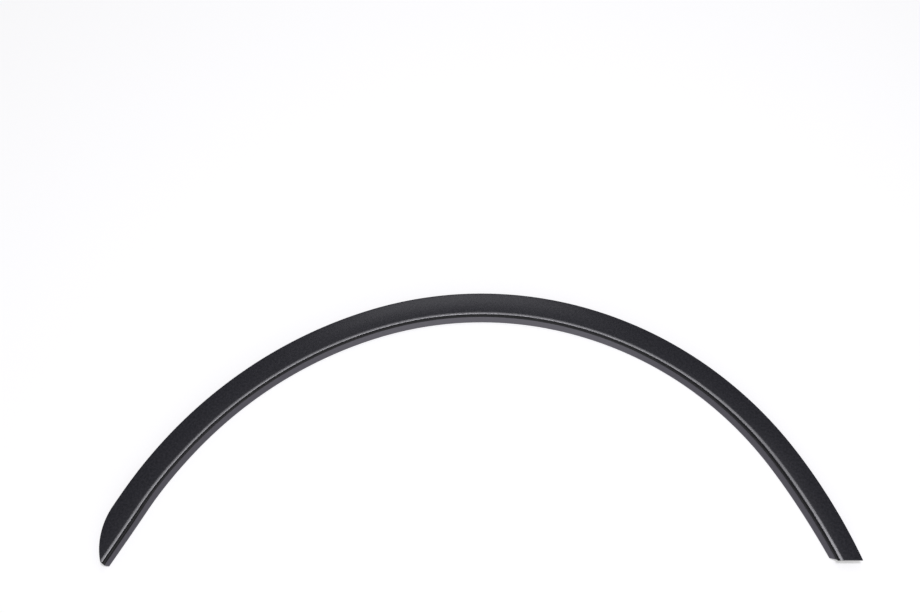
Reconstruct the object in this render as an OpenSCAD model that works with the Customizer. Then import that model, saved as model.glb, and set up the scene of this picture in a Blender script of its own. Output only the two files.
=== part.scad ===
// Wheel arch trim: one moulded strip that runs round a wheel opening.
// It lies face up. Z is up, +X points to the flat-cut end, +Y to the crown of the arch.
// All sizes are in millimetres, angles in degrees from +Y, the left leg to -X.

/* [Plan] */
// Radius of the outer edge over the crown of the arch
main_r = 381; // [330:1:430]
// Radius of the outer edge down the left leg
left_r = 443; // [400:1:520]
// Angle from the crown at which the left leg opens out
left_turn = 19; // [12:1:26]
// Angle from the crown at which the left leg runs straight
straight_turn = 62; // [58:1:65]
// Radius of the outer edge at the foot of the right leg
right_r = 657; // [500:1:800]
// Angle from the crown at which the right leg opens out
right_turn = 59; // [54:1:62]

/* [Section] */
// Outer edge of the face to the middle of the bead
face_w = 23.4; // [20:0.1:28]
// Thickness of the face at the middle of its crown
wall = 2.6; // [2.2:0.1:3]
// Radius of the slight crown across the face
crown_r = 150; // [120:5:300]
// Bottom of the flange to the highest line of the face
height = 12; // [11:0.5:15]
// Radius of the bead along the inner edge of the face
bead_r = 3; // [2.7:0.1:3.2]
// Drop of the top of the bead's round below the crown of the face
bead_drop = 0.1; // [0:0.05:0.2]
// Distance from the start of the bevel to the middle of the bead
bevel_w = 1; // [0.8:0.1:1.4]
// Slope of the bevel where it starts
bevel_tilt = 10; // [8:0.5:12]
// Radius of the bevel across the strip
bevel_r = 30; // [24:1:45]
// Outer edge to the bottom of the visible side of the flange
flange_foot = 30; // [28.8:0.1:32]
// Bead middle to the crease where the flange starts
crease_in = 2; // [1.8:0.1:2.3]
// Thickness of the flange
flange_wall = 2.2; // [1.8:0.1:2.6]
// Break along the two bottom edges of the flange
flange_break = 0.4; // [0.2:0.1:0.6]

/* [Tapered end] */
// Start of the taper past the start of the straight
taper_start = 13.6; // [8:0.1:20]
// Radius of the taper
taper_r = 75; // [65:1:90]
// Level of the tip above the centre of the arch
tip_y = 77.2; // [74:0.1:82]
// Radius of the tip
tip_r = 4.5; // [3:0.5:7]
// Wall that closes the tip, measured along the foot
tip_wall = 2.2; // [1.8:0.1:3]
// Break along the top edge of the taper
taper_break = 0.6; // [0.3:0.1:0.8]

/* [Flat-cut end] */
// Radius of the outer edge down the right leg, where the face narrows
narrow_r = 528; // [500:1:600]
// Angle of the outer corner about the centre of that edge
cut_turn = 72.8; // [71:0.1:74]
// Slope of the cut below the face, which leaves the flange shorter at its foot
cut_under = 28; // [0:1:35]

/* [Hidden] */
$fn = 180;
trim_black = [0.13, 0.13, 0.14];

// Every second run is slimmer by this, and neighbours overlap by a small angle or length.
run_step = 0.1;
run_in = 0.05;
foot_in = 0.3;

// Centres of the leg arcs, on the radius where each meets the main arc.
left_c = [(left_r - main_r) * sin(left_turn), (main_r - left_r) * cos(left_turn)];
right_c = [(main_r - right_r) * sin(right_turn), (main_r - right_r) * cos(right_turn)];

// Straight foot of the left leg: its start, its outward side and its run towards the tip.
foot_out = [-sin(straight_turn), cos(straight_turn)];
foot_run = [-cos(straight_turn), -sin(straight_turn)];
foot_p = left_c + left_r * foot_out;
foot_l = taper_start + taper_r;
wall_from = (foot_p[1] - flange_foot * foot_out[1] - tip_y) / sin(straight_turn) - tip_wall;

// Taper arc and the small arc that rounds the tip.
taper_c = foot_p + taper_start * foot_run - taper_r * foot_out;
tip_cy = tip_y + tip_r;
tip_cx = taper_c[0] - sqrt(pow(taper_r - tip_r, 2) - pow(tip_cy - taper_c[1], 2));
tip_from = 180 + atan2(taper_c[1] - tip_cy, taper_c[0] - tip_cx);
taper_from = 90 + straight_turn + 1.5;
taper_sweep = 75;

// Narrowed outer edge of the right leg, and its corner at the flat-cut end.
narrow_c = [(main_r - narrow_r) * sin(right_turn), (main_r - narrow_r) * cos(right_turn)];
narrow_from = right_turn + 2;
narrow_to = cut_turn + 4;
cut_p = narrow_c + narrow_r * [sin(cut_turn), cos(cut_turn)];

// Middle of the box round the whole trim, which goes to the origin.
mid_x = (taper_c[0] - taper_r + cut_p[0]) / 2;
mid_y = (main_r - run_step + tip_y) / 2;

// Points of the section, from its outer edge inwards to -X and up from the floor.
half_w = face_w / 2;
crown_z = height - crown_r;
back_z = height - wall;
lip_top = crown_z + sqrt(pow(crown_r, 2) - pow(half_w - wall / 2, 2));
lip_r = (lip_top - back_z) / 2 + 0.02;
lip_z = (lip_top + back_z) / 2 + 0.05;
bead_z = crown_z + sqrt(pow(crown_r, 2) - pow(half_w, 2)) - bead_drop - bead_r;
crease_z = bead_z - sqrt(pow(bead_r, 2) - pow(crease_in, 2));
flange_lean = (flange_foot - face_w - crease_in) / crease_z;
flange_top = back_z + 0.5;
bevel_d = face_w - bevel_w;
bevel_x = bevel_r * sin(bevel_tilt) - bevel_d;
bevel_z = crown_z + sqrt(pow(crown_r, 2) - pow(bevel_d - half_w, 2)) - bevel_r * cos(bevel_tilt);

// Face with a crowned front, a flat back and a rounded lip at the outer edge, slimmed by g.
module face_section(g) {
    intersection() {
        translate([-half_w, crown_z])
            circle(r = crown_r - g);
        translate([-face_w - bead_r / 5, back_z + g])
            square([face_w + bead_r / 5 - lip_r, wall]);
    }
    translate([-lip_r, lip_z])
        circle(r = lip_r - g);
}

// Bead along the inner edge of the face, kept clear of the space behind the face.
module bead_section(g) {
    inside = flange_wall / 2 - flange_foot;
    difference() {
        translate([-face_w, bead_z])
            circle(r = bead_r - g);
        polygon([
            [inside, 0],
            [inside + flange_lean * (back_z + 0.2), back_z + 0.2],
            [0, back_z + 0.2],
            [0, 0]
        ]);
    }
}

// Return flange below the bead, leaning inwards as it drops, slimmed by g.
module flange_section(g) {
    front = g - flange_foot;
    back = flange_wall - flange_foot - g;
    polygon([
        [front + flange_lean * flange_top, flange_top],
        [front + flange_lean * flange_break, flange_break],
        [front + flange_break, 0],
        [back - flange_break, 0],
        [back + flange_lean * flange_break, flange_break],
        [back + flange_lean * flange_top, flange_top]
    ]);
}

// Everything above the bevel that runs from the face over the top of the bead.
module bevel_waste(g) {
    difference() {
        translate([-face_w - bead_r - 1, back_z])
            square([bead_r + bevel_w + 3, wall + 1]);
        translate([bevel_x, bevel_z])
            circle(r = bevel_r - g);
    }
}

// Whole section, with the outer edge on the axis and the rest to -X.
module section(g) {
    difference() {
        union() {
            face_section(g);
            bead_section(g);
            flange_section(g);
        }
        bevel_waste(g);
    }
}

// Section swept about a centre between two angles from +Y.
module sweep(centre, r, from, to, g) {
    translate([centre[0], centre[1], 0])
        rotate([0, 0, 90 - to])
            rotate_extrude(angle = to - from)
                translate([r, 0])
                    section(g);
}

// Space behind the face at the tip, from the middle of the flange to past the taper.
module tip_wall_section() {
    inside = flange_wall / 2 - flange_foot;
    top = back_z + 0.5;
    polygon([
        [inside, 0],
        [inside + flange_lean * top, top],
        [-half_w, top],
        [-half_w, 0]
    ]);
}

// Straight run along the foot of the left leg, between two distances from its start.
module along_foot(from, to) {
    translate([foot_p[0], foot_p[1], 0])
        rotate([0, 0, 90 + straight_turn])
            rotate([90, 0, 0])
                translate([0, 0, -to])
                    linear_extrude(height = to - from)
                        children();
}

// Side of a cut that leaves a convex corner of radius r with a broken top edge.
module round_side(r, reach) {
    polygon([
        [r, -1],
        [r, height - taper_break],
        [r - taper_break - 1, height + 1],
        [r + reach, height + 1],
        [r + reach, -1]
    ]);
}

// Everything outside the taper, below the tip and outside its small corner.
module tip_waste() {
    translate([taper_c[0], taper_c[1], 0])
        rotate([0, 0, taper_from])
            rotate_extrude(angle = taper_sweep)
                round_side(taper_r, 60);
    translate([tip_cx, tip_cy, 0])
        rotate([0, 0, tip_from])
            rotate_extrude(angle = 270 - tip_from)
                round_side(tip_r, 20);
    translate([tip_cx - 60, tip_y - 120, -1])
        cube([160, 120, height + 2]);
}

// Everything outside the narrowed edge of the right leg and past the cut, which slopes under the face.
module cut_waste() {
    translate([narrow_c[0], narrow_c[1], 0])
        rotate([0, 0, 90 - narrow_to])
            rotate_extrude(angle = narrow_to - narrow_from)
                round_side(narrow_r, 40);
    translate([cut_p[0] - 90, cut_p[1] - 80, -1])
        cube([180, 80, height + 2]);
    translate([cut_p[0] - 90, cut_p[1], back_z])
        rotate([cut_under, 0, 0])
            translate([0, -60, -40])
                cube([180, 60, 40]);
}

module arch_trim() {
    color(trim_black)
        translate([-mid_x, -mid_y, 0])
            difference() {
                union() {
                    sweep([0, 0], main_r, -left_turn, right_turn, run_step);
                    sweep(left_c, left_r, -straight_turn, run_in - left_turn, 0);
                    sweep(right_c, right_r, right_turn - run_in, cut_turn, 0);
                    along_foot(-foot_in, foot_l)
                        section(run_step);
                    along_foot(wall_from, foot_l)
                        tip_wall_section();
                }
                tip_waste();
                cut_waste();
            }
}

arch_trim();
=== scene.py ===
"""Wheel arch trim, lying face up on a plain pale floor under soft studio light.

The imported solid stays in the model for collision. What shows is one finely swept strip on the
same plan, with the small rounds of a moulding. It departs from the solid in a few places, as
the photograph shows them: the foot of the flange lies a little further in, the flange narrows
towards both ends, and the crest of the face drifts across the strip.
"""
import math

import bmesh
import bpy
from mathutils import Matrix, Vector


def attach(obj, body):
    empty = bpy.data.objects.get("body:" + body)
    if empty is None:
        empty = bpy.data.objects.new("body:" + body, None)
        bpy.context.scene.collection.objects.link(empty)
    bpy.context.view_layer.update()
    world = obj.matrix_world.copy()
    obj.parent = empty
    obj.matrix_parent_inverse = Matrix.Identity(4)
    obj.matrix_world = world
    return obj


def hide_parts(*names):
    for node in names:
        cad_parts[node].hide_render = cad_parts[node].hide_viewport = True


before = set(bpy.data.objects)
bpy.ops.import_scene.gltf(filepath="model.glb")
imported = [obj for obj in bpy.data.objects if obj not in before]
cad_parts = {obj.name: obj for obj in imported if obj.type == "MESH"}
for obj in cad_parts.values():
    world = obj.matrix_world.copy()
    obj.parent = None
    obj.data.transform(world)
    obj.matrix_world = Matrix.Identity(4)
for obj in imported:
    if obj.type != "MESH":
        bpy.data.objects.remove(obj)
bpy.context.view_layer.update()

# Plan of the strip in millimetres and in degrees from +Y, those of the left leg to the left, as in
# the solid's source.
MAIN_R = 381.0
LEFT_R = 443.0
LEFT_TURN = 19.0
STRAIGHT_TURN = 62.0
RIGHT_R = 657.0
RIGHT_TURN = 59.0
TAPER_START = 13.6
TAPER_R = 75.0
TIP_Y = 77.2
TIP_R = 4.5
TIP_WALL = 2.2
NARROW_R = 528.0
CUT_TURN = 72.8
CUT_UNDER = 28.0
RUN_STEP = 0.1

# Section of the strip in millimetres: d runs inwards from the outer edge, z up from the floor.
FACE_W = 23.4
WALL = 2.6
CROWN_R = 150.0
HEIGHT = 12.0
BEAD_R = 3.0
BEAD_DROP = 0.1
BEVEL_W = 1.0
BEVEL_TILT = 10.0
BEVEL_R = 30.0
CREASE_IN = 2.0
FLANGE_WALL = 2.2

# What the shown strip has and the solid lacks: rounds, and the flange's foot further in.
FLANGE_FOOT = 30.8
ROLL_R = 1.5
FOOT_ROUND = 0.5
ROOT_ROUND = 0.9
END_ROUND = 0.4

# Heights, distances and slopes that follow from the sizes of the section.
CROWN_Z = HEIGHT - CROWN_R
BACK_Z = HEIGHT - WALL
BEAD_D = FACE_W + BEAD_R
BEAD_Z = CROWN_Z + math.sqrt(CROWN_R**2 - (FACE_W / 2) ** 2) - BEAD_DROP - BEAD_R
CREASE_Z = BEAD_Z - math.sqrt(BEAD_R**2 - CREASE_IN**2)
LEAN = (FLANGE_FOOT - FACE_W - CREASE_IN) / CREASE_Z
BEVEL_D = FACE_W - BEVEL_W
BEVEL_Z = CROWN_Z + math.sqrt(CROWN_R**2 - (BEVEL_D - FACE_W / 2) ** 2)
BEVEL_C = (
    BEVEL_D - BEVEL_R * math.sin(math.radians(BEVEL_TILT)),
    BEVEL_Z - BEVEL_R * math.cos(math.radians(BEVEL_TILT)),
)

# Narrowing of the flange's foot at the ends, and where the turn towards the cut starts.
CUT_FROM = 63.0
CUT_NARROWING = 2.4
TIP_NARROWING = 0.8

# Drift of the crest inwards over the left leg and crown and outwards at the cut, and of the foot.
CREST_DRIFT = 1.1
CUT_DRIFT = 0.7
FOOT_DRIFT = 0.6
# Degrees over which the drift grows above the straight foot, and over which it turns back.
LEFT_DRIFT_SPAN = 10.0
RIGHT_DRIFT_FROM = 16.0
RIGHT_DRIFT_SPAN = 42.0
# Across the strip: where the drift starts, over how far it grows, how far past the middle of the
# bead it holds, and over how far it passes to the foot.
DRIFT_FROM = 6.0
DRIFT_RISE = BEVEL_D - 1 - DRIFT_FROM
DRIFT_HOLD = 0.6
DRIFT_FALL = 3.0

# Rings along the strip, from the flat cut to the tip. Those near the cut crowd towards it.
CAP_RINGS = 5
CUT_RINGS = 44
CUT_CROWDING = 1.3
RIGHT_RINGS = 18
MAIN_RINGS = 230
LEFT_RINGS = 150
TIP_RINGS = 90

# Steps along each stretch of a ring.
LIP_STEPS = 12
LIP_HALF = LIP_STEPS // 2
FACE_STEPS = 15
BEVEL_STEPS = 9
ROLL_STEPS = 6
BEAD_STEPS = 14
FRONT_STEPS = 6
FOOT_STEPS = 4
FLANGE_BACK_STEPS = 5
ROOT_STEPS = 5
BACK_STEPS = 7
# Share of a straight stretch at which its first and last inner points lie.
NEAR_END = 0.03
# Points of the flange from the crease to the round of its foot, and to the end of that round.
FRONT_POINTS = FRONT_STEPS + 4
FOOT_POINTS = FRONT_POINTS + FOOT_STEPS
# Points of the crest that may close up where the taper cuts into it.
CREST_MOVABLE = 24

# Limits that keep the points of a ring in order where the taper cuts into the section, and the
# furthest that it cuts in.
POINT_GAP = 0.05
POINT_TOUCH = 0.01
FACE_LIMIT = BEAD_D - 0.2
CREST_LIMIT = BEAD_D - POINT_GAP
BEAD_GONE = BEAD_D - 0.1
TAPER_LIMIT = 27.15
FACE_LEAST = 0.3
LIP_LEAST = 0.05
LIP_SHARE = 0.4
# Passes of the searches for the radius of the lip and for the outer edge.
LIP_PASSES = 20
SOLVE_PASSES = 40

# Crease: how far below it the plain front starts, and how far the point between stands out.
CREASE_DROP = 0.25
CREASE_EASE = 0.03

# Wall that closes the tip: the length over which it fades in, its thinnest part, and the round
# of its foot, as a share of its width, with its middle point and the gap to the flange's foot.
WALL_FADE = 0.4
TIP_SLIVER = 0.12
CORNER_SHARE = 0.3
CORNER_BREAK = 0.3
CORNER_GAP = 0.1

# Millimetres in a metre.
MM = 1000

# Colours: plastic's darkest and palest mottle, flange's painted light, crease's painted shade,
# dust.
MOTTLE_DARK = (0.0036, 0.0036, 0.0088)
MOTTLE_PALE = (0.0185, 0.018, 0.0248)
FLANGE_PAINTED_LIGHT = (0.1, 0.096, 0.113)
CREASE_PAINTED_SHADE = (0.003, 0.003, 0.004)
DUST_COLOUR = (0.06, 0.058, 0.062)
DUST_COVER = 0.35

# Scale, detail and roughness of the noises.
GRAIN_NOISE = (1500, 2.0, 0.6)
FINE_NOISE = (4200, 1.0, 0.5)
MOTTLE_NOISE = (420, 3.0, 0.6)
CLOUD_NOISE = (9, 3.0, 0.5)
# Ranges of the noises that are used for the mottle, the dust, the roughness and the bump.
MOTTLE_RANGE = (0.36, 0.66)
DUST_RANGE = (0.66, 0.74)
ROUGH_RANGE = (0.3, 0.7)
BUMP_RANGE = (0.2, 0.8)

# Roughness of the face, what grain, crest and crease add to it, the sheen, and the grain's bump.
ROUGH_FROM = 0.23
ROUGH_TO = 0.27
GRAIN_ROUGH = 0.01
CREST_ROUGH = 0.045
CREASE_ROUGH = 0.25
SHEEN = 0.5
# Lower sheen of the crease, part of its painted shade.
CREASE_SHEEN = 0.25
PLASTIC_IOR = 1.5
BUMP_STRENGTH = 0.1
BUMP_DISTANCE = 0.00006
FINE_BUMP = 0.35

# Millimetres across the strip over which crest, painted crease shade and painted flange light fade
# in.
CREST_FADE = (BEVEL_D - 1, BEVEL_D)
CREASE_FADE = (FACE_W + 1.6, FACE_W + 2.1)
FLANGE_FADE = (FACE_W + 2, FACE_W + 2.5)
# Heights, in metres, over which the flange's painted light fades in downwards and the crease's
# painted shade fades out.
FLANGE_HEIGHTS = ((CREASE_Z - 0.9) / MM, (CREASE_Z - 0.1) / MM)
CREASE_HEIGHTS = ((CREASE_Z - 0.7) / MM, (CREASE_Z - 0.1) / MM)
# The painted shade of the crease's dark line is wider along the straight foot: where that starts,
# over how far, by how much.
FOOT_FROM_X = -0.335
FOOT_FADE = 0.017
FOOT_PAINTED_SHADE_DEEPER = 0.0008

# Studio: floor in metres, levels of floor and world, and the lamps.
FLOOR_SIZE = 12
FLOOR_Z = -0.0002
FLOOR_COLOUR = (0.8, 0.8, 0.8, 1)
FLOOR_GLOW = 0.4
WORLD_LEVEL = 0.3
WHITE = (1, 1, 1, 1)
LAMP_COLOUR = (0.96, 0.95, 1.0)
# Name, place, aim, size in metres, power in watts.
LAMPS = (
    ("overhead_softbox", (0.12, -0.16, 2.3), (0.0, -0.1, 0.0), (0.42, 0.42), 24.5),
    ("far_softbox", (-0.05, 1.25, 1.75), (0.0, 0.1, 0.0), (0.7, 0.5), 1.9),
    ("front_softbox", (0.0, -2.2, 0.6), (0.0, 0.0, 0.0), (2.4, 0.8), 9.0),
)

# Camera: lens and sensor in millimetres, place in metres, tilt from straight down in degrees.
CAMERA_LENS = 45.0
CAMERA_SENSOR = 36.0
CAMERA_CLIP = 0.01
CAMERA_PLACE = (-0.01993, -0.44355, 1.1475)
CAMERA_TILT = 27


def ray(turn):
    """Unit vector at an angle in degrees, clockwise from +Y."""
    return Vector((math.sin(math.radians(turn)), math.cos(math.radians(turn))))


# Centres and corners of the plan.
LEFT_C = (MAIN_R - LEFT_R) * ray(-LEFT_TURN)
RIGHT_C = (MAIN_R - RIGHT_R) * ray(RIGHT_TURN)
NARROW_C = (MAIN_R - NARROW_R) * ray(RIGHT_TURN)
CUT_P = NARROW_C + NARROW_R * ray(CUT_TURN)
FOOT_OUT = ray(-STRAIGHT_TURN)
FOOT_RUN = Vector((-FOOT_OUT.y, FOOT_OUT.x))
FOOT_P = LEFT_C + LEFT_R * FOOT_OUT
TAPER_C = FOOT_P + TAPER_START * FOOT_RUN - TAPER_R * FOOT_OUT
TIP_CY = TIP_Y + TIP_R
TIP_CX = TAPER_C.x - math.sqrt((TAPER_R - TIP_R) ** 2 - (TIP_CY - TAPER_C.y) ** 2)
TIP_C = Vector((TIP_CX, TIP_CY))
TIP_FROM = 180 + math.degrees(math.atan2(TAPER_C.y - TIP_CY, TAPER_C.x - TIP_CX))
WALL_FROM = (FOOT_P.y - FLANGE_FOOT * FOOT_OUT.y - TIP_Y) / -FOOT_RUN.y - TIP_WALL
# Middle of the solid's box. The solid's main arc is slimmer by its run step.
MID = Vector(((TAPER_C.x - TAPER_R + CUT_P.x) / 2, (MAIN_R - RUN_STEP + TIP_Y) / 2))


def solve(f, low, high):
    """Where f, positive at low, turns negative on the way to high."""
    for _ in range(SOLVE_PASSES):
        middle = (low + high) / 2
        if f(middle) > 0:
            low = middle
        else:
            high = middle
    return (low + high) / 2


def lerp(a, b, t):
    """Point at share t of the way from a to b."""
    return (a[0] + (b[0] - a[0]) * t, a[1] + (b[1] - a[1]) * t)


def spread(a, b, steps):
    """Points from a to b in a straight row, a left out."""
    dx, dz = b[0] - a[0], b[1] - a[1]
    return [(a[0] + dx * i / steps, a[1] + dz * i / steps) for i in range(1, steps + 1)]


def smooth(x):
    """Smooth step from 0 at x = 0 to 1 at x = 1."""
    x = min(1.0, max(0.0, x))
    return x * x * (3 - 2 * x)


# A station is a function of d and z that gives the plan point of a point of the section.
def on_arc(centre, radius, turn):
    """Station square to an arc of the plan."""
    return lambda d, z: centre + (radius - d) * ray(turn)


cut_turns = {}


def cut_turn(d, z):
    """Angle at which a line of the right leg meets the cut, which slopes under the face."""
    key = (round(d, 4), round(z, 4))
    if key not in cut_turns:
        level = CUT_P.y + max(0.0, BACK_Z - z) * math.tan(math.radians(CUT_UNDER))
        cut_turns[key] = math.degrees(math.acos((level - RIGHT_C.y) / (RIGHT_R - d)))
    return cut_turns[key]


def foot_share(d):
    """How far a point of the section lies from the crease towards the foot of the flange."""
    return max(0.0, d - FACE_W - CREASE_IN) / (FLANGE_FOOT - FACE_W - CREASE_IN)


def towards_cut(share):
    """Station of the right leg, turning from square to the strip to lie along the cut."""
    def place(d, z):
        turn = CUT_FROM + (cut_turn(d, z) - CUT_FROM) * share
        less = CUT_NARROWING * foot_share(d) * ((turn - CUT_FROM) / (CUT_TURN - CUT_FROM)) ** 2
        return RIGHT_C + (RIGHT_R - d + less) * ray(turn)
    return place


def towards_tip(share):
    """Station of the straight foot, turning from square to the strip to lie along the tip."""
    def place(d, z):
        start = FOOT_P - (d - TIP_NARROWING * foot_share(d) * share**2) * FOOT_OUT
        run = (start.y - TIP_Y) / -FOOT_RUN.y
        return start + run * share * FOOT_RUN
    return place


def drift_at(turn):
    """How far inwards the crest and the foot of the flange lie at an angle of the arch."""
    left = smooth((turn + STRAIGHT_TURN) / LEFT_DRIFT_SPAN)
    right = smooth((turn - RIGHT_DRIFT_FROM) / RIGHT_DRIFT_SPAN)
    crest = left * (CREST_DRIFT - (CREST_DRIFT + CUT_DRIFT) * right)
    foot = left * FOOT_DRIFT * (1 - right) ** 2
    return crest, foot


def drifted(place, turn):
    """A station whose crest and foot are moved across the strip by their drift."""
    crest, foot = drift_at(turn)

    def moved(d, z):
        rise = smooth((d - DRIFT_FROM) / DRIFT_RISE)
        fall = smooth((d - FACE_W - DRIFT_HOLD) / DRIFT_FALL)
        return place(d + crest * rise * (1 - fall) + foot * fall, z)
    return moved


def cut_overhang(p):
    """How far a point of the right leg stands outside the narrowed edge."""
    return (p - NARROW_C).length - NARROW_R


def tip_overhang(p):
    """How far a point of the foot stands outside the taper and the round of the tip."""
    past = (p - FOOT_P).dot(FOOT_RUN) - TAPER_START
    out = (p - TAPER_C).length - TAPER_R if past > 0 else -1.0
    q = p - TIP_C
    turn = math.degrees(math.atan2(q.y, q.x)) % 360
    if TIP_FROM <= turn <= 270:
        out = max(out, q.length - TIP_R)
    return out


def outer_edge(place, overhang):
    """Distance at which a station meets the outer edge of the strip."""
    if overhang(place(0.0, HEIGHT)) <= 0:
        return 0.0
    return solve(lambda d: overhang(place(d, HEIGHT)), 0.0, TAPER_LIMIT)


def arc_points(cx, cz, r, start, end, steps):
    """Points on an arc, angles in degrees from the inward direction towards up."""
    out = []
    for i in range(steps + 1):
        a = math.radians(start + (end - start) * i / steps)
        out.append((cx + r * math.cos(a), cz + r * math.sin(a)))
    return out


def crest_points():
    """From the start of the bevel over its roll into the bead and down to the crease."""
    bc = Vector(BEVEL_C)
    cc = Vector((FACE_W, BEAD_Z))
    far, near = BEVEL_R - ROLL_R, BEAD_R - ROLL_R
    gap = (cc - bc).length
    along = (far**2 - near**2 + gap**2) / (2 * gap)
    u = (cc - bc) / gap
    q = bc + along * u + math.sqrt(far**2 - along**2) * Vector((u.y, -u.x))
    turn_a = math.degrees(math.atan2(q.y - bc.y, q.x - bc.x))
    turn_b = math.degrees(math.atan2(q.y - cc.y, q.x - cc.x))
    turn_c = -math.degrees(math.acos(CREASE_IN / BEAD_R))
    bevel = arc_points(*bc, BEVEL_R, 90 - BEVEL_TILT, turn_a, BEVEL_STEPS)
    roll = arc_points(*q, ROLL_R, turn_a, turn_b, ROLL_STEPS)
    bead = arc_points(*cc, BEAD_R, turn_b, turn_c, BEAD_STEPS)
    return bevel + roll[1:] + bead[1:]


CREST = crest_points()


def top_z(d):
    """Height of the crowned face, or of the bevel and the bead past it."""
    if d <= BEVEL_D:
        return CROWN_Z + math.sqrt(CROWN_R**2 - (d - FACE_W / 2) ** 2)
    for a, b in zip(CREST, CREST[1:]):
        if a[0] <= d <= b[0]:
            return a[1] + (b[1] - a[1]) * (d - a[0]) / (b[0] - a[0])
    return BEAD_Z


def fillet(corner, before, after, r, steps):
    """Arc that rounds a corner. The two other points only give the directions from it."""
    u = (Vector(before) - Vector(corner)).normalized()
    v = (Vector(after) - Vector(corner)).normalized()
    half = u.angle(v) / 2
    centre = Vector(corner) + (u + v).normalized() * (r / math.sin(half))
    first = Vector(corner) + u * (r / math.tan(half)) - centre
    last = Vector(corner) + v * (r / math.tan(half)) - centre
    start = math.atan2(first.y, first.x)
    turn = math.atan2(last.y, last.x) - start
    turn = (turn + math.pi) % (2 * math.pi) - math.pi
    out = []
    for i in range(steps + 1):
        a = start + turn * i / steps
        out.append((centre.x + r * math.cos(a), centre.y + r * math.sin(a)))
    return out


def between(a, b, steps):
    """Inner points of a straight stretch, close to its ends as well as spread over it."""
    shares = [NEAR_END] + [i / steps for i in range(1, steps)] + [1 - NEAR_END]
    return [lerp(a, b, t) for t in shares]


def front_at(z):
    """Point of the flange's front, which leans inwards towards its foot."""
    return (FLANGE_FOOT - LEAN * z, z)


def back_at(z):
    """Point of the flange's back, on the side of the wing."""
    return (FLANGE_FOOT - FLANGE_WALL - LEAN * z, z)


def flange_loop():
    """The part of the section that is the same everywhere: crease, flange, foot and root."""
    crease = (FACE_W + CREASE_IN, CREASE_Z)
    foot_in = fillet(front_at(0), front_at(5), (FLANGE_FOOT - 2, 0), FOOT_ROUND, FOOT_STEPS)
    foot_out = fillet(back_at(0), (FLANGE_FOOT, 0), back_at(5), FOOT_ROUND, FOOT_STEPS)
    root = fillet(back_at(BACK_Z), back_at(2), (10, BACK_Z), ROOT_ROUND, ROOT_STEPS)
    front = front_at(CREASE_Z - CREASE_DROP)
    loop = [((crease[0] + front[0]) / 2 + CREASE_EASE, (crease[1] + front[1]) / 2), front]
    loop += between(front, foot_in[0], FRONT_STEPS) + foot_in
    loop += foot_out
    loop += between(foot_out[-1], root[0], FLANGE_BACK_STEPS) + root
    return loop


FLANGE_LOOP = flange_loop()


def front_row(d_out, count):
    """Top of a section that the tip has cut back into the flange: its front from the top down."""
    top = front_at((FLANGE_FOOT - d_out) / LEAN)
    join = front_at((FLANGE_FOOT - d_out - TIP_SLIVER) / LEAN)
    row = FLANGE_LOOP[:FRONT_POINTS]
    first, foot = row[0], row[-1]
    front = [lerp(join, foot, (first[1] - z) / (first[1] - foot[1])) for d, z in row]
    return [top] + spread(top, join, count - FRONT_POINTS)[:-1] + front


def cut_through_flange(d_out, lip):
    """Lip, flange and back of a section whose outer edge cuts off the root of the flange."""
    kept = FLANGE_LOOP[:FOOT_POINTS]
    kept += [p for p in FLANGE_LOOP[FOOT_POINTS:] if p[0] > d_out + POINT_GAP]
    low = min(BACK_Z - POINT_TOUCH, (FLANGE_FOOT - FLANGE_WALL - d_out) / LEAN)
    taken = LIP_HALF + BACK_STEPS - 1
    count = len(FLANGE_LOOP) - len(kept) + taken
    edge = [(d_out, low + (lip[LIP_HALF][1] - low) * i / count) for i in range(count)]
    flange = kept + edge[:-taken]
    return edge[-LIP_HALF:] + lip[LIP_HALF:], flange, edge[-taken:-LIP_HALF]


def lip_and_start(d_out):
    """The rounded outer lip, and the distance at which the face starts beside it."""
    r = WALL / 2
    for _ in range(LIP_PASSES):
        top = min(d_out + r, FACE_LIMIT)
        r = max(LIP_LEAST, min((top_z(top) - BACK_Z) / 2, LIP_SHARE * (BEAD_D - d_out)))
    lip = arc_points(d_out + r, top_z(top) - r, r, 270, 90, LIP_STEPS)
    return lip, min(d_out + r, FACE_LIMIT)


def face_and_crest(face_from):
    """The face and the crest, whose first points close up where the taper cuts into it."""
    face_to = min(max(BEVEL_D, face_from + FACE_LEAST), CREST_LIMIT)
    face = []
    for i in range(1, FACE_STEPS):
        d = face_from + (face_to - face_from) * i / FACE_STEPS
        face.append((d, top_z(d)))
    crest = list(CREST)
    cut = 0
    while cut < CREST_MOVABLE and crest[cut][0] < face_to + POINT_GAP:
        cut += 1
    for i in range(cut):
        crest[i] = lerp((face_to, top_z(face_to)), crest[cut], i / cut)
    return face + crest


def filled(d_out, lip, top, flange, back):
    """The section with the space behind the face filled, point for point as in the open one."""
    over = [(max(d, d_out + TIP_SLIVER), z) for d, z in top + FLANGE_LOOP[:FRONT_POINTS]]
    over = lip[LIP_HALF:] + over
    if d_out > BEAD_GONE:
        over = front_row(d_out, len(over))
    ease = min(FOOT_ROUND, CORNER_SHARE * (FLANGE_FOOT - d_out))
    corner = [(d_out + ease, 0), (d_out + CORNER_BREAK * ease, CORNER_BREAK * ease), (d_out, ease)]
    turned = (max(FLANGE_LOOP[FOOT_POINTS][0], corner[0][0] + CORNER_GAP), 0)
    hollow = flange[FOOT_POINTS + 1:] + back + lip[:LIP_HALF]
    inside = sum(1 for d, z in hollow if d > d_out + POINT_TOUCH)
    floor = spread(turned, corner[0], inside + 1)[:-1]
    wall = spread(corner[-1], over[0], len(hollow) - inside - len(corner) + 1)[:-1]
    under = floor + corner + wall
    foot = FLANGE_LOOP[FRONT_POINTS:FOOT_POINTS] + [turned]
    return under[-LIP_HALF:] + over + foot + under[:-LIP_HALF]


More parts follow.
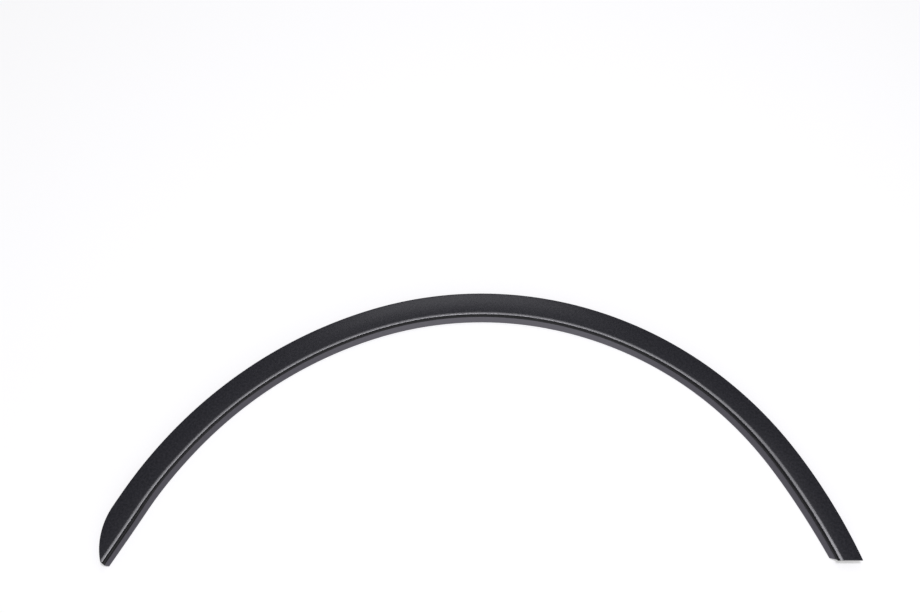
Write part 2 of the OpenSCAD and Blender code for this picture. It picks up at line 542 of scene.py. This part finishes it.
def section(d_out, closed=0.0):
    """Closed loop of (d, z) for a strip whose outer edge is d_out inside the nominal one.

    At closed = 1 the space behind the face is filled, as by the wall at the tip.
    """
    lip, face_from = lip_and_start(d_out)
    top = face_and_crest(face_from)
    root = FLANGE_LOOP[-1]
    reach = lip[0][0] - root[0]
    back = [(root[0] + reach * i / BACK_STEPS, BACK_Z) for i in range(1, BACK_STEPS)]
    flange = FLANGE_LOOP
    if reach > 0:
        lip, flange, back = cut_through_flange(d_out, lip)
    loop = lip + top + flange + back
    if closed == 0:
        return loop
    full = filled(d_out, lip, top, flange, back)
    return [lerp(a, b, closed) for a, b in zip(loop, full)]


def shrink(loop, by):
    """The same loop moved inwards by a small distance."""
    if by == 0:
        return loop
    out = []
    n = len(loop)
    for i in range(n):
        a = Vector(loop[i - 1])
        b = Vector(loop[i])
        c = Vector(loop[(i + 1) % n])
        along = ((b - a).normalized() + (c - b).normalized()).normalized()
        out.append((b.x + along.y * by, b.y - along.x * by))
    return out


def cap_shares(length):
    """Shares and insets of the rings that round off the flat cut, outermost first."""
    out = []
    for i in range(CAP_RINGS):
        a = math.radians(90 * i / CAP_RINGS)
        out.append((1 - END_ROUND * (1 - math.cos(a)) / length, END_ROUND * (1 - math.sin(a))))
    return out


def all_rings():
    """Rings from the flat-cut end round the arch to the tip: station, section and inset."""
    rings = []
    length = RIGHT_R * math.radians(CUT_TURN - CUT_FROM)
    inner = 1 - END_ROUND / length
    shares = cap_shares(length)
    shares += [(inner - inner * (i / CUT_RINGS) ** CUT_CROWDING, 0) for i in range(CUT_RINGS)]
    for share, inset in shares:
        place = towards_cut(share)
        loop = section(outer_edge(place, cut_overhang))
        rings.append((drifted(place, CUT_FROM), loop, inset))
    for i in range(RIGHT_RINGS):
        turn = CUT_FROM - (CUT_FROM - RIGHT_TURN) * i / RIGHT_RINGS
        place = on_arc(RIGHT_C, RIGHT_R, turn)
        rings.append((drifted(place, turn), section(outer_edge(place, cut_overhang)), 0))
    plain = section(0.0)
    for i in range(MAIN_RINGS):
        turn = RIGHT_TURN - (RIGHT_TURN + LEFT_TURN) * i / MAIN_RINGS
        rings.append((drifted(on_arc(Vector((0, 0)), MAIN_R, turn), turn), plain, 0))
    for i in range(LEFT_RINGS):
        turn = -LEFT_TURN - (STRAIGHT_TURN - LEFT_TURN) * i / LEFT_RINGS
        rings.append((drifted(on_arc(LEFT_C, LEFT_R, turn), turn), plain, 0))
    for i in range(TIP_RINGS + 1):
        place = towards_tip(math.sin(math.radians(90 * i / TIP_RINGS)))
        foot = (place(FLANGE_FOOT, 0) - FOOT_P).dot(FOOT_RUN)
        closed = min(1.0, max(0.0, (foot - WALL_FROM) / WALL_FADE))
        rings.append((place, section(outer_edge(place, tip_overhang), closed), 0))
    return rings


def build_strip():
    """One closed mesh of the whole strip, with the distance across it kept for the material."""
    bm = bmesh.new()
    across = bm.verts.layers.float.new("across")
    rows = []
    for place, loop, inset in all_rings():
        row = []
        for d, z in shrink(loop, inset):
            p = place(d, z) - MID
            v = bm.verts.new((p.x / MM, p.y / MM, z / MM))
            v[across] = d
            row.append(v)
        rows.append(row)
    n = len(rows[0])
    for a, b in zip(rows, rows[1:]):
        for i in range(n):
            j = (i + 1) % n
            bm.faces.new((a[i], a[j], b[j], b[i])).smooth = True
    bm.faces.new(rows[0][::-1]).smooth = False
    bm.faces.new(rows[-1]).smooth = False
    bmesh.ops.recalc_face_normals(bm, faces=bm.faces)
    mesh = bpy.data.meshes.new("arch_strip")
    bm.to_mesh(mesh)
    bm.free()
    obj = bpy.data.objects.new("arch_strip", mesh)
    bpy.context.scene.collection.objects.link(obj)
    return obj


class Nodes:
    """Small helper that adds nodes to a tree and links them."""

    def __init__(self, tree):
        self.tree = tree
        tree.nodes.clear()

    def add(self, kind, **values):
        """New node with some of its properties set."""
        node = self.tree.nodes.new(kind)
        for key, value in values.items():
            setattr(node, key, value)
        return node

    def link(self, a, b):
        """Link of an output to an input."""
        self.tree.links.new(a, b)

    def noise(self, vector, scale, detail, rough):
        """Noise from 0 to 1."""
        node = self.add("ShaderNodeTexNoise")
        node.inputs["Scale"].default_value = scale
        node.inputs["Detail"].default_value = detail
        node.inputs["Roughness"].default_value = rough
        self.link(vector, node.inputs["Vector"])
        return node.outputs["Fac"]

    def span(self, value, a0, a1, b0, b1):
        """A value carried from the range a0 to a1 over to the range b0 to b1, and held there."""
        node = self.add("ShaderNodeMapRange")
        self.link(value, node.inputs["Value"])
        for name, v in (("From Min", a0), ("From Max", a1), ("To Min", b0), ("To Max", b1)):
            node.inputs[name].default_value = v
        return node.outputs["Result"]

    def math(self, operation, a, b):
        """One sum of an output and an output or a number."""
        node = self.add("ShaderNodeMath", operation=operation)
        for slot, v in zip(node.inputs, (a, b)):
            if isinstance(v, (int, float)):
                slot.default_value = v
            else:
                self.link(v, slot)
        return node.outputs[0]

    def mix(self, factor, a, b):
        """Mix of two colours, each an output or a plain colour."""
        node = self.add("ShaderNodeMix", data_type="RGBA")
        self.link(factor, node.inputs[0])
        for slot, v in ((node.inputs[6], a), (node.inputs[7], b)):
            if isinstance(v, tuple):
                slot.default_value = (*v, 1)
            else:
                self.link(v, slot)
        return node.outputs[2]


def moulded_plastic():
    """Near-black matt plastic: fine moulded grain, faint mottle and some dust, with painted shade
    in the crease and painted light on the flange.
    """
    mat = bpy.data.materials.new("moulded_black_plastic")
    mat.use_nodes = True
    n = Nodes(mat.node_tree)
    out = n.add("ShaderNodeOutputMaterial")
    bsdf = n.add("ShaderNodeBsdfPrincipled")
    n.link(bsdf.outputs[0], out.inputs[0])
    where = n.add("ShaderNodeTexCoord").outputs["Object"]
    across = n.add("ShaderNodeAttribute", attribute_name="across").outputs["Fac"]

    grain = n.noise(where, *GRAIN_NOISE)
    fine = n.noise(where, *FINE_NOISE)
    mottle = n.noise(where, *MOTTLE_NOISE)
    cloud = n.noise(where, *CLOUD_NOISE)

    dark = n.mix(n.span(mottle, *MOTTLE_RANGE, 0, 1), MOTTLE_DARK, MOTTLE_PALE)
    split = n.add("ShaderNodeSeparateXYZ")
    n.link(where, split.inputs[0])
    x, z = split.outputs[0], split.outputs[2]
    # Painted shade: along the straight foot the crease's dark line reaches lower, and the flange's
    # painted light starts lower.
    deeper = n.span(x, FOOT_FROM_X, FOOT_FROM_X - FOOT_FADE, 0, FOOT_PAINTED_SHADE_DEEPER)
    high = n.math("ADD", z, deeper)
    # Painted light: a paler tone on the flange's front, below the crease, stands in for the light
    # of the pale floor.
    below = n.span(high, *FLANGE_HEIGHTS, 1, 0)
    flange = n.math("MULTIPLY", n.span(across, *FLANGE_FADE, 0, 1), below)
    dark = n.mix(flange, dark, FLANGE_PAINTED_LIGHT)
    # Painted shade: the crease under the bead is made near-black and its sheen lowered.
    above = n.span(high, *CREASE_HEIGHTS, 0, 1)
    crease = n.math("MULTIPLY", n.span(across, *CREASE_FADE, 0, 1), above)
    dark = n.mix(crease, dark, CREASE_PAINTED_SHADE)
    n.link(n.span(crease, 0, 1, SHEEN, CREASE_SHEEN), bsdf.inputs["Specular IOR Level"])
    dark = n.mix(n.span(fine, *DUST_RANGE, 0, DUST_COVER), dark, DUST_COLOUR)
    n.link(dark, bsdf.inputs["Base Color"])

    clouded = n.span(cloud, *ROUGH_RANGE, ROUGH_FROM, ROUGH_TO)
    rough = n.math("ADD", clouded, n.span(grain, *ROUGH_RANGE, -GRAIN_ROUGH, GRAIN_ROUGH))
    rough = n.math("ADD", rough, n.span(across, *CREST_FADE, 0, CREST_ROUGH))
    rough = n.math("ADD", rough, n.span(crease, 0, 1, 0, CREASE_ROUGH))
    n.link(rough, bsdf.inputs["Roughness"])
    bsdf.inputs["IOR"].default_value = PLASTIC_IOR

    coarse = n.span(grain, *BUMP_RANGE, 0, 1)
    height = n.math("ADD", coarse, n.span(fine, *BUMP_RANGE, 0, FINE_BUMP))
    bump = n.add("ShaderNodeBump")
    bump.inputs["Strength"].default_value = BUMP_STRENGTH
    bump.inputs["Distance"].default_value = BUMP_DISTANCE
    n.link(height, bump.inputs["Height"])
    n.link(bump.outputs[0], bsdf.inputs["Normal"])
    return mat


def pale_floor():
    """Pale seamless floor that reads white to the camera and in reflections, and takes shadow."""
    mat = bpy.data.materials.new("studio_floor")
    mat.use_nodes = True
    n = Nodes(mat.node_tree)
    out = n.add("ShaderNodeOutputMaterial")
    diffuse = n.add("ShaderNodeBsdfDiffuse")
    diffuse.inputs["Color"].default_value = FLOOR_COLOUR
    glow = n.add("ShaderNodeEmission")
    path = n.add("ShaderNodeLightPath")
    seen = n.math("MAXIMUM", path.outputs["Is Camera Ray"], path.outputs["Is Glossy Ray"])
    seen = n.math("MAXIMUM", seen, path.outputs["Is Transmission Ray"])
    n.link(n.math("MULTIPLY", seen, FLOOR_GLOW), glow.inputs["Strength"])
    total = n.add("ShaderNodeAddShader")
    n.link(diffuse.outputs[0], total.inputs[0])
    n.link(glow.outputs[0], total.inputs[1])
    n.link(total.outputs[0], out.inputs[0])
    return mat


def studio_floor():
    """The floor, which is stage and no part of the object."""
    bpy.ops.mesh.primitive_plane_add(size=FLOOR_SIZE, location=(0, 0, FLOOR_Z))
    floor = bpy.context.object
    floor.name = "studio_floor"
    floor.data.materials.append(pale_floor())


def studio_world():
    """A plain world that the camera sees as white."""
    world = bpy.data.worlds.new("studio_world")
    bpy.context.scene.world = world
    world.use_nodes = True
    n = Nodes(world.node_tree)
    out = n.add("ShaderNodeOutputWorld")
    plain = n.add("ShaderNodeBackground")
    plain.inputs["Color"].default_value = WHITE
    plain.inputs["Strength"].default_value = WORLD_LEVEL
    white = n.add("ShaderNodeBackground")
    white.inputs["Color"].default_value = WHITE
    path = n.add("ShaderNodeLightPath")
    choose = n.add("ShaderNodeMixShader")
    n.link(path.outputs["Is Camera Ray"], choose.inputs[0])
    n.link(plain.outputs[0], choose.inputs[1])
    n.link(white.outputs[0], choose.inputs[2])
    n.link(choose.outputs[0], out.inputs[0])


def studio_lamps():
    """The softboxes, each turned to its aim."""
    for name, place, aim, size, power in LAMPS:
        data = bpy.data.lights.new(name, "AREA")
        data.shape = "RECTANGLE"
        data.size, data.size_y = size
        data.energy = power
        data.color = LAMP_COLOUR
        lamp = bpy.data.objects.new(name, data)
        lamp.location = place
        towards = Vector(aim) - Vector(place)
        lamp.rotation_euler = towards.to_track_quat("-Z", "Y").to_euler()
        bpy.context.scene.collection.objects.link(lamp)


def camera():
    """The camera of the photograph, as worked out from its four arches."""
    data = bpy.data.cameras.new("camera")
    data.lens = CAMERA_LENS
    data.sensor_width = CAMERA_SENSOR
    data.clip_start = CAMERA_CLIP
    obj = bpy.data.objects.new("camera", data)
    obj.location = CAMERA_PLACE
    obj.rotation_euler = (math.radians(CAMERA_TILT), 0, 0)
    bpy.context.scene.collection.objects.link(obj)
    bpy.context.scene.camera = obj


bpy.context.scene.view_settings.view_transform = "Standard"
camera()
studio_floor()
studio_world()
studio_lamps()

strip = build_strip()
strip.data.materials.append(moulded_plastic())
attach(strip, "root")
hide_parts("arch_trim")

bpy.context.view_layer.update()
